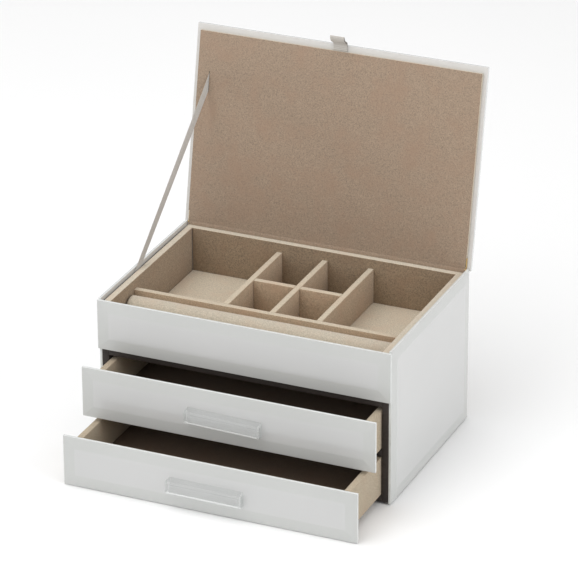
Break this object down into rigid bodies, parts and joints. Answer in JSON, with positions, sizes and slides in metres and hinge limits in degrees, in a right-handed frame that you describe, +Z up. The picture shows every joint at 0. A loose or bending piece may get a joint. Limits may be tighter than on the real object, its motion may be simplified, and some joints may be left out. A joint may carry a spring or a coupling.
{
  "type": "jewellery chest",
  "caption": "Glass-faced jewellery chest with a hinged lid on a stay ribbon, a lined and divided tray with ring rolls, and lined drawers below with clear bar handles.",
  "frame": {"origin": "middle of the case footprint, on the underside of the base felt, which is the surface it stands on", "axes": "+Z up, -Y is the front with the drawers, +X is to the right as seen from the front"},
  "size_m": [0.2818, 0.3069, 0.3381],
  "materials": {
    "white_glass": "glass painted white on its back, polished, bevelled edges",
    "clear_glass": "clear, polished",
    "dark_board": "fibreboard wrapped in dark brown paper, matte",
    "white_board": "fibreboard wrapped in off-white paper, matte",
    "suede": "beige flocked suede, matte",
    "felt": "dark felt",
    "brass": "satin",
    "ribbon": "grosgrain ribbon"
  },
  "bodies": {
    "case": {"back_board": "white_board", "back_liner": "suede", "base_board": "dark_board", "base_felt": "felt", "centre_divider": "suede", "cross_divider": "suede", "drawer_shelf": "dark_board", "front_board": "dark_board", "front_glass": "white_glass", "front_liner": "suede", "front_ring_roll": "suede", "hinge_case_leaf": "brass", "hinge_cover": "suede", "hinge_pin": "brass", "hinge_screw_1": "brass", "hinge_screw_2": "brass", "hinge_screw_3": "brass", "hinge_screw_4": "brass", "hinge_screw_5": "brass", "left_divider": "suede", "left_liner": "suede", "left_side_board": "dark_board", "left_side_glass": "white_glass", "lid_stay_ribbon": "ribbon", "long_divider": "suede", "rear_ring_roll": "suede", "right_divider": "suede", "right_liner": "suede", "right_side_board": "dark_board", "right_side_glass": "white_glass", "tray_floor_board": "dark_board", "tray_floor_pad": "suede"},
    "lid": {"lid_glass": "white_glass", "lid_board": "dark_board", "lid_lining": "suede", "lid_pull_tab": "ribbon", "hinge_lid_leaf": "brass"},
    "upper_drawer": {"upper_drawer_back": "suede", "upper_drawer_bottom": "suede", "upper_drawer_front_board": "suede", "upper_drawer_glass": "white_glass", "upper_drawer_handle": "clear_glass", "upper_drawer_left_side": "suede", "upper_drawer_pad": "suede", "upper_drawer_right_side": "suede"},
    "lower_drawer": {"lower_drawer_back": "suede", "lower_drawer_bottom": "suede", "lower_drawer_front_board": "suede", "lower_drawer_glass": "white_glass", "lower_drawer_handle": "clear_glass", "lower_drawer_left_side": "suede", "lower_drawer_pad": "suede", "lower_drawer_right_side": "suede"}
  },
  "joints": [
    {"name": "lid_hinge", "type": "hinge", "parent": "case", "child": "lid", "pos_m": [0, 0.0924, 0.148], "axis": [1, 0, 0], "range_deg": [0, 101], "deforming": ["lid_stay_ribbon", "hinge_cover"]},
    {"name": "upper_drawer_slide", "type": "slide", "parent": "case", "child": "upper_drawer", "axis": [0, -1, 0], "range_m": [-0.0333, 0.097]},
    {"name": "lower_drawer_slide", "type": "slide", "parent": "case", "child": "lower_drawer", "axis": [0, -1, 0], "range_m": [-0.0732, 0.057]}
  ]
}
